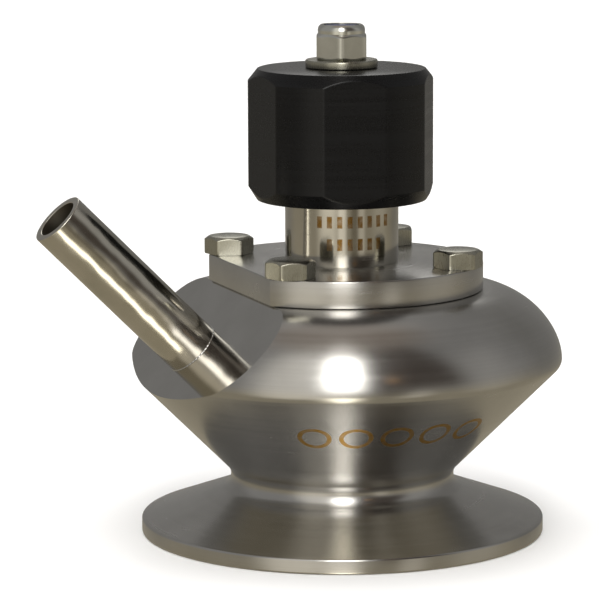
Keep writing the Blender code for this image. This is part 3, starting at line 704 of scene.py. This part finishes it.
def make_body(turned_steel, polished):
    ferrule = ferrule_outline()
    bowl = bowl_outline()
    outline = [*ferrule, *neck_outline(ferrule[-1], bowl[0]), *bowl, *bowl_inside_outline()]
    body = turned("body_shell", outline, even_angles(BODY_STEPS))
    body.data.materials.append(turned_steel)
    reach = 60 * MM
    flat = helper_box(
        "flat", (-reach, -reach, TUBE_FOOT - GAP), (reach, reach, 2 * reach), outlet_matrix()
    )
    flat.data.materials.append(polished)
    bore = helper_cylinder("bore", TUBE_BORE_RADIUS, BORE_START, TUBE_END, outlet_matrix())
    bore.data.materials.append(turned_steel)
    hole_top = BOWL_TOP_HEIGHT + MM
    holes = bolt_hole_cutters(BOLT_HOLE_RADIUS, BOLT_HOLE_BOTTOM, hole_top, turned_steel)
    cut(body, [flat, bore, *holes])
    return finish_piece(body, None, "valve", "turned_steel", "valve_body")


def make_tube(polished, dull_shaded_bore):
    """The tube; its bore is dull, with painted shade: a dark colour for the shade inside the tube.
    """
    lip = TUBE_LIP_ROUND
    outline = [
        *arc((TUBE_BORE_RADIUS + lip, TUBE_END - lip), lip, 180, 90, 4),
        *arc((TUBE_RADIUS - lip, TUBE_END - lip), lip, 90, 0, 4),
        (TUBE_RADIUS, TUBE_FOOT - GAP),
        (TUBE_BORE_RADIUS, TUBE_FOOT - GAP),
    ]
    tube = turned("outlet_pipe", outline, even_angles(STEPS))
    tube.matrix_world = outlet_matrix()
    tube.data.materials.append(polished)
    tube.data.materials.append(dull_shaded_bore)
    for face in tube.data.polygons:
        if math.hypot(face.center.x, face.center.y) < TUBE_BORE_RADIUS + 0.01 * MM:
            face.material_index = 1
    return finish_piece(tube, None, "valve", "polished_steel", "outlet_tube")


def make_weld(polished):
    """A low rippled bead where the tube meets the flat."""
    center = (TUBE_RADIUS - 0.25 * MM, TUBE_FOOT - GAP - 0.2 * MM)
    outline = arc(center, WELD_RADIUS, 360, 0, 14)[:-1]

    def rippled(radius, height, angle):
        return radius + WELD_RIPPLE * math.sin(WELD_RIPPLES * angle)

    weld = turned("outlet_weld", outline, even_angles(8 * WELD_RIPPLES), rippled)
    weld.matrix_world = outlet_matrix()
    return finish_piece(weld, polished, "valve", "polished_steel")


def make_plate(turned_steel):
    edge = PLATE_EDGE
    top = PLATE_HIGH.z
    bottom = BOWL_TOP_HEIGHT + JOINT
    outline = [
        (STEM_HOLE_RADIUS, top),
        (PLATE_RADIUS - edge, top),
        *arc((PLATE_RADIUS - edge, top - edge), edge, 90, 0, 4)[1:],
        *arc((PLATE_RADIUS - edge, bottom + edge), edge, 0, -90, 4),
        (SPIGOT_RADIUS, bottom),
        (SPIGOT_RADIUS, PLATE_LOW.z),
        (SPIGOT_BORE_RADIUS, PLATE_LOW.z),
        (SPIGOT_BORE_RADIUS, BONNET_CEILING),
        (STEM_HOLE_RADIUS, BONNET_CEILING),
        (STEM_HOLE_RADIUS, SEAL_GROOVE_FROM),
        (SEAL_GROOVE_RADIUS, SEAL_GROOVE_FROM),
        (SEAL_GROOVE_RADIUS, SEAL_GROOVE_TO),
        (STEM_HOLE_RADIUS, SEAL_GROOVE_TO),
    ]
    half = math.acos(PLATE_FLAT_DISTANCE / PLATE_RADIUS)
    angles = sorted(even_angles(BODY_STEPS) + [math.pi - half, math.pi + half])

    def flattened(radius, height, angle):
        facing = -math.cos(angle)
        if facing <= 0 or radius < SPIGOT_RADIUS + MM:
            return radius
        inset = PLATE_RADIUS - radius
        return min(radius, (PLATE_FLAT_DISTANCE - inset) / facing)

    plate = turned("bonnet_plate", outline, angles, flattened)
    plate.data.materials.append(turned_steel)
    cut(plate, bolt_hole_cutters(BOLT_HOLE_RADIUS + GAP, bottom - MM, top + MM, turned_steel))
    return finish_piece(plate, None, "valve", "turned_steel", "bonnet_flange")


def make_housing(polished):
    edge = 0.5 * MM
    low = PLATE_HIGH.z
    high = HOUSING_HIGH.z
    outline = [
        (HOUSING_BORE_RADIUS, high),
        *arc((HOUSING_RADIUS - edge, high - edge), edge, 90, 0, 4),
        *divided((HOUSING_RADIUS, high - MM), (HOUSING_RADIUS, low + 0.4 * MM), 12),
        (HOUSING_RADIUS - 0.2 * MM, low),
        (HOUSING_BORE_RADIUS, low),
        (HOUSING_BORE_RADIUS, CIRCLIP_GROOVE_FROM),
        (CIRCLIP_GROOVE_RADIUS, CIRCLIP_GROOVE_FROM),
        (CIRCLIP_GROOVE_RADIUS, CIRCLIP_GROOVE_TO),
        (HOUSING_BORE_RADIUS, CIRCLIP_GROOVE_TO),
    ]
    housing = turned("bonnet_neck", outline, even_angles(STEPS))
    return finish_piece(housing, polished, "valve", "polished_steel", "stem_housing")


def hexagon_shape(across_flats, from_height, softness=0.25 * MM):
    """A shape for turned() that is a hexagon above from_height, with edges a little worn."""

    def shape(radius, height, angle):
        if height < from_height:
            return radius
        return soft_min(radius, flats_radius(across_flats / 2, 6, math.pi / 6, angle), softness)

    return shape


def make_bolt(index, steel):
    low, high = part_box(f"bonnet_bolt_{index + 1}")
    corner = HEX_ACROSS_FLATS / math.sqrt(3)
    head_bottom = PLATE_HIGH.z + JOINT
    chamfer = 0.75 * MM
    face = corner - 1.5 * chamfer
    outline = [
        (0, high.z),
        (face - 0.3 * MM, high.z),
        (face, high.z - 0.06 * MM),
        *divided((face + 0.15 * MM, high.z - 0.16 * MM), (corner, high.z - chamfer), 12),
        *divided((corner, high.z - chamfer - 0.1 * MM), (corner, head_bottom + 0.2 * MM), 4),
        (corner - 0.2 * MM, head_bottom),
        (BOLT_SHANK_RADIUS, head_bottom),
        (BOLT_SHANK_RADIUS, low.z + 0.7 * MM),
        (BOLT_SHANK_RADIUS - 0.7 * MM, low.z),
        (0, low.z),
    ]
    shape = hexagon_shape(HEX_ACROSS_FLATS, head_bottom - 0.1 * MM)
    bolt = turned(f"bolt_{index + 1}", outline, even_angles(SMALL_STEPS * 2), shape)
    turn = Matrix.Rotation(BOLT_HEAD_TURNS[index], 4, "Z")
    bolt.matrix_world = bolt_place(BOLT_ANGLES[index]) @ turn
    return finish_piece(bolt, steel, "valve", "bolt_steel", f"bonnet_bolt_{index + 1}")


def eased(outline, reach, steps=4):
    """The outline with a short curve in place of each corner. Its ends stay."""
    points = [outline[0]]
    for before, corner, after in zip(outline, outline[1:], outline[2:]):
        start = toward(corner, before, reach)
        end = toward(corner, after, reach)
        for i in range(steps + 1):
            t = i / steps
            weights = ((1 - t) ** 2, 2 * t * (1 - t), t * t)
            points.append(
                tuple(sum(w * p[k] for w, p in zip(weights, (start, corner, end))) for k in (0, 1))
            )
    points.append(outline[-1])
    return points


def toward(start, end, reach):
    """A point on the way from one point to another, less than half way."""
    length = math.dist(start, end)
    share = min(reach / length, 0.45)
    return tuple(a + (b - a) * share for a, b in zip(start, end))


def make_diaphragm(rubber):
    """A moulded cup with soft corners; its floor is the plug."""
    rim_bottom = SEATING_HEIGHT
    rim_top = DIAPHRAGM_HIGH.z
    tip = DIAPHRAGM_LOW.z
    outline = [
        (0, STUD_HEAD_BOTTOM - GAP),
        (STUD_HEAD_RADIUS, STUD_HEAD_BOTTOM - GAP),
        (STUD_HEAD_RADIUS, STUD_HEAD_TOP),
        (STUD_RADIUS, STUD_HEAD_TOP),
        (STUD_RADIUS, CUP_FLOOR),
        (CUP_FLOOR_RADIUS, CUP_FLOOR),
        (KNEE_INNER_RADIUS, KNEE_HEIGHT),
        (RIM_INNER_RADIUS, rim_top),
        (SPIGOT_RADIUS, rim_top),
        (SPIGOT_RADIUS, rim_bottom),
        (RIM_OUTER_RADIUS, rim_bottom),
        (KNEE_OUTER_RADIUS, KNEE_HEIGHT),
        *PLUG_OUTLINE,
        (TIP_RADIUS, tip),
        (0, tip),
    ]
    cup = turned("diaphragm_cup", eased(outline, 1.4 * MM, 6), even_angles(STEPS))
    finish_piece(cup, rubber, "valve", "white_elastomer", "diaphragm")
    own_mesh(cup)


# ---- Pieces that turn ----


def make_knob(plastic):
    top = KNOB_HIGH.z
    bottom = KNOB_LOW.z
    top_edge = (KNOB_RADIUS, top - KNOB_TOP_CHAMFER)
    bottom_edge = (KNOB_RADIUS, bottom + KNOB_BOTTOM_CHAMFER)
    ease = 0.15 * MM
    outline = [
        (KNOB_HUB_BORE, top),
        (KNOB_TOP_FACE_RADIUS - 0.3 * MM, top),
        *divided((KNOB_TOP_FACE_RADIUS, top - 0.1 * MM), top_edge, 22),
        *divided((KNOB_RADIUS, top_edge[1] - ease), (KNOB_RADIUS, bottom_edge[1] + ease), 8),
        *divided(bottom_edge, (KNOB_BOTTOM_FACE_RADIUS, bottom + 0.1 * MM), 22),
        (KNOB_BOTTOM_FACE_RADIUS - 0.3 * MM, bottom),
        (KNOB_BORE_RADIUS, bottom),
        (KNOB_BORE_RADIUS, KNOB_HUB_BOTTOM),
        (KNOB_HUB_BORE, KNOB_HUB_BOTTOM),
    ]

    def milled(radius, height, angle):
        if radius < KNOB_BORE_RADIUS + MM:
            return radius
        flat = flats_radius(KNOB_FLAT_DISTANCE, KNOB_FLATS, FIRST_KNOB_FLAT_ANGLE, angle)
        return soft_min(radius, flat, 0.12 * MM)

    knob = turned("knob", outline, even_angles(720), milled)
    return finish_piece(knob, plastic, "hand_wheel", "black_plastic", "hand_knob")


def make_washer(steel):
    edge = 0.35 * MM
    low = KNOB_HIGH.z
    high = WASHER_HIGH.z
    outline = [
        (WASHER_HOLE_RADIUS, high),
        *arc((WASHER_RADIUS - edge, high - edge), edge, 90, 0, 5),
        *arc((WASHER_RADIUS - edge, low + edge), edge, 0, -90, 5),
        (WASHER_HOLE_RADIUS, low),
    ]
    washer = turned("washer", outline, even_angles(STEPS))
    return finish_piece(washer, steel, "hand_wheel", "bolt_steel", "knob_washer")


def make_nut(steel):
    corner = NUT_ACROSS_FLATS / math.sqrt(3)
    low = WASHER_HIGH.z
    top = NUT_LOW.z + NUT_HEIGHT
    hex_top = NUT_LOW.z + NUT_HEX_HEIGHT
    chamfer = 0.6 * MM
    shelf = top - 3.0 * MM
    collar_center = (NUT_COLLAR_RADIUS - NUT_COLLAR_ROUND, top - NUT_COLLAR_ROUND)
    outline = [
        (NUT_COUNTERBORE_RADIUS, top - 0.3 * MM),
        *reversed(arc(collar_center, NUT_COLLAR_ROUND, 0, 60, 10)),
        (NUT_COLLAR_RADIUS - 0.05 * MM, hex_top + 0.1 * MM),
        *divided((NUT_COLLAR_RADIUS + 0.05 * MM, hex_top), (corner, hex_top - chamfer), 10),
        *divided((corner, hex_top - chamfer - 0.1 * MM), (corner, low + chamfer + 0.1 * MM), 4),
        *divided((corner, low + chamfer), (corner - 1.5 * chamfer, low), 10),
        (NUT_HOLE_RADIUS, low),
        (NUT_HOLE_RADIUS, shelf),
        (NUT_COUNTERBORE_RADIUS, shelf),
    ]
    shape = hexagon_shape(NUT_ACROSS_FLATS, low - MM, 0.6 * MM)
    nut = turned("nut", outline, even_angles(SMALL_STEPS * 2), shape)
    nut.matrix_world = Matrix.Rotation(NUT_TURN, 4, "Z")
    return finish_piece(nut, steel, "hand_wheel", "bolt_steel", "lock_nut")


def make_nylon_ring(nylon):
    low = INSERT_LOW.z
    high = INSERT_HIGH.z
    edge = 0.25 * MM
    outline = [
        *arc((NUT_HOLE_RADIUS + edge, high - edge), edge, 180, 90, 3),
        *arc((INSERT_RADIUS - edge, high - edge), edge, 90, 0, 3),
        (INSERT_RADIUS, low),
        (NUT_HOLE_RADIUS, low),
    ]
    ring = turned("nylon_ring", outline, even_angles(SMALL_STEPS))
    return finish_piece(ring, nylon, "hand_wheel", "nylon", "nut_insert")


# ---- Stage, light and camera ----


def make_floor():
    bm = bmesh.new()
    bmesh.ops.create_circle(bm, cap_ends=True, segments=96, radius=9.0)
    mesh = bpy.data.meshes.new("floor")
    bm.to_mesh(mesh)
    bm.free()
    floor = bpy.data.objects.new("floor", mesh)
    floor.location.z = -0.05 * MM
    bpy.context.scene.collection.objects.link(floor)
    material, tree, shader = new_material("floor", Metallic=0.0, Roughness=0.8)
    grain = noise(tree, object_position(tree), 30, 2, 0.5)
    gray = mix_color(tree, grain, (0.86, 0.86, 0.86), (0.89, 0.89, 0.89))
    connect(tree, shader.inputs["Base Color"], gray)
    floor.data.materials.append(material)
    floor.visible_glossy = False


def soft_box(tree, turn, rise, side, half_width, low, high, edge, strength):
    """A soft rectangle of light in the world, by its side angle and its elevations in degrees."""
    off = math_node(tree, "ABSOLUTE", math_node(tree, "SUBTRACT", turn, side))
    across = map_range(tree, off, half_width - edge, half_width + edge, 1, 0, True)
    above = map_range(tree, rise, low - edge, low + edge, 0, 1, True)
    below = map_range(tree, rise, high - edge, high + edge, 1, 0, True)
    inside = math_node(tree, "MULTIPLY", math_node(tree, "MULTIPLY", above, below), across)
    return math_node(tree, "MULTIPLY", inside, strength)


def make_world():
    """A studio: warm table below, cooler walls above, and soft boxes of light round it."""
    world = bpy.data.worlds.new("studio")
    world.use_nodes = True
    tree = world.node_tree
    background = tree.nodes["Background"]
    place = tree.nodes.new("ShaderNodeTexCoord").outputs["Generated"]
    turned_round = node(
        tree,
        "ShaderNodeMapping",
        {"vector_type": "POINT"},
        Vector=place,
        Rotation=(0, 0, STUDIO_TURN),
    )
    x, y, z = node(tree, "ShaderNodeSeparateXYZ", None, Vector=turned_round.outputs[0]).outputs
    radians_to_degrees = 180 / math.pi
    front = math_node(tree, "MULTIPLY", y, -1.0)
    turn = math_node(tree, "MULTIPLY", math_node(tree, "ARCTAN2", x, front), radians_to_degrees)
    rise = math_node(tree, "MULTIPLY", math_node(tree, "ARCSINE", z), radians_to_degrees)

    left_to_right = map_range(tree, x, -0.7, 0.7, 0, 1, True)
    upper = mix_color(tree, left_to_right, (0.36, 0.355, 0.35), (0.285, 0.28, 0.275))
    walls = mix_color(tree, map_range(tree, rise, -14, 10, 0, 1, True), (0.385, 0.345, 0.26), upper)
    for side, half_width, low, high, edge, strength, color in STUDIO_SHADES:
        shade = soft_box(tree, turn, rise, side, half_width, low, high, edge, strength)
        walls = mix_color(tree, shade, walls, color)
    for side, half_width, low, high, edge, strength, color in STUDIO_BOXES:
        light = soft_box(tree, turn, rise, side, half_width, low, high, edge, strength)
        tinted = tree.nodes.new("ShaderNodeVectorMath")
        tinted.operation = "SCALE"
        tinted.inputs[0].default_value = color
        connect(tree, tinted.inputs["Scale"], light)
        total = tree.nodes.new("ShaderNodeVectorMath")
        total.operation = "ADD"
        connect(tree, total.inputs[0], walls)
        connect(tree, total.inputs[1], tinted.outputs[0])
        walls = total.outputs[0]
    connect(tree, background.inputs["Color"], walls)
    background.inputs["Strength"].default_value = 1.0
    bpy.context.scene.world = world


def make_overhead_light():
    """A wide soft light from above, for the floor and the knob; the metal doesn't mirror it."""
    data = bpy.data.lights.new("overhead", "SUN")
    data.angle = OVERHEAD_SPREAD
    data.energy = OVERHEAD_STRENGTH
    light = bpy.data.objects.new("overhead", data)
    light.location.z = 2
    light.visible_glossy = False
    bpy.context.scene.collection.objects.link(light)


def make_camera():
    """The camera: from the valve's axis at a height, then yaw, pitch and roll."""
    pitch, yaw, roll = CAMERA_PITCH, CAMERA_YAW, CAMERA_ROLL
    forward = Vector(
        (math.sin(yaw) * math.cos(pitch), math.cos(yaw) * math.cos(pitch), -math.sin(pitch))
    )
    right = Vector((math.cos(yaw), -math.sin(yaw), 0))
    up = right.cross(forward)
    right = right * math.cos(roll) + up * math.sin(roll)
    up = right.cross(forward)
    level = Matrix((right, up, -forward)).transposed().to_4x4()
    around = Matrix.Rotation(CAMERA_AZIMUTH - math.radians(270), 4, "Z")
    place = Matrix.Translation((0, -CAMERA_DISTANCE, CAMERA_HEIGHT))
    data = bpy.data.cameras.new("camera")
    data.sensor_width = 36
    data.lens = CAMERA_LENS
    data.clip_start = 0.05
    data.clip_end = 50
    camera = bpy.data.objects.new("camera", data)
    camera.matrix_world = around @ place @ level
    bpy.context.scene.collection.objects.link(camera)
    bpy.context.scene.camera = camera


def set_node_material(name, material):
    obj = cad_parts[name]
    obj.data.materials.clear()
    obj.data.materials.append(material)


def main():
    turned_look = ((0.50, 0.49, 0.47), (0.42, 0.41, 0.39), 0.24, 4e-6)
    polished_look = ((0.50, 0.48, 0.43), (0.43, 0.41, 0.36), 0.13)
    turned_steel = turned_metal("turned_steel", *turned_look)
    polished_flat = polished_metal("polished_flat", (0.50, 0.49, 0.47), (0.46, 0.45, 0.43), 0.1)
    polished = polished_metal("polished_steel", *polished_look)
    tube_steel = polished_metal(
        "tube_steel", (0.56, 0.53, 0.47), (0.48, 0.46, 0.40), 0.16, wave_depth=3e-4
    )
    bolt_steel = polished_metal("bolt_steel", (0.38, 0.37, 0.31), (0.30, 0.29, 0.24), 0.26)
    nut_steel = polished_metal("nut_steel", (0.66, 0.66, 0.62), (0.55, 0.55, 0.51), 0.2)
    # The tube's bore: painted shade, steel coloured far darker for the shade inside the tube.
    shaded_bore_steel = turned_metal("shaded_bore_steel", (0.16, 0.14, 0.11), (0.10, 0.09, 0.07), 0.5, 2e-6, 0.0)
    housing_steel = polished_metal("housing_steel", *polished_look)
    etch(housing_steel, dash_rows, DASHES_COLOR)
    body_steel = turned_metal("body_steel", *turned_look)
    etch(body_steel, ring_row, RINGS_COLOR)
    plastic = machined_plastic("black_plastic", (0.003, 0.003, 0.0032), 0.28)
    bronze = turned_metal("bronze", (0.62, 0.42, 0.2), (0.5, 0.33, 0.15), 0.3, 3e-6)
    rubber = moulded("black_rubber", (0.02, 0.02, 0.02), (0.03, 0.03, 0.03), 0.6, 2500, 1e-5)
    elastomer = moulded("white_elastomer", (0.78, 0.76, 0.70), (0.84, 0.82, 0.77), 0.5, 1500, 1e-5)
    nylon = moulded("nylon", (0.03, 0.035, 0.08), (0.05, 0.055, 0.11), 0.4, 1800, 1e-5)

    make_body(body_steel, polished_flat)
    make_tube(tube_steel, shaded_bore_steel)
    make_weld(polished_flat)
    make_plate(turned_steel)
    make_housing(housing_steel)
    for index in range(len(BOLT_ANGLES)):
        make_bolt(index, bolt_steel)
    make_diaphragm(elastomer)
    make_knob(plastic)
    make_washer(bolt_steel)
    make_nut(nut_steel)
    make_nylon_ring(nylon)
    for name, material in (
        ("spindle", polished),
        ("compressor", turned_steel),
        ("diaphragm_stud", bolt_steel),
        ("stem_retainer", bolt_steel),
        ("thrust_washer", bronze),
        ("anti_turn_pin", bolt_steel),
        ("thread_bush", bronze),
        ("guide_bush", bronze),
        ("guide_circlip", bolt_steel),
        ("stem_seal", rubber),
    ):
        set_node_material(name, material)

    make_floor()
    make_world()
    make_overhead_light()
    make_camera()
    bpy.context.scene.view_settings.view_transform = "Standard"


main()
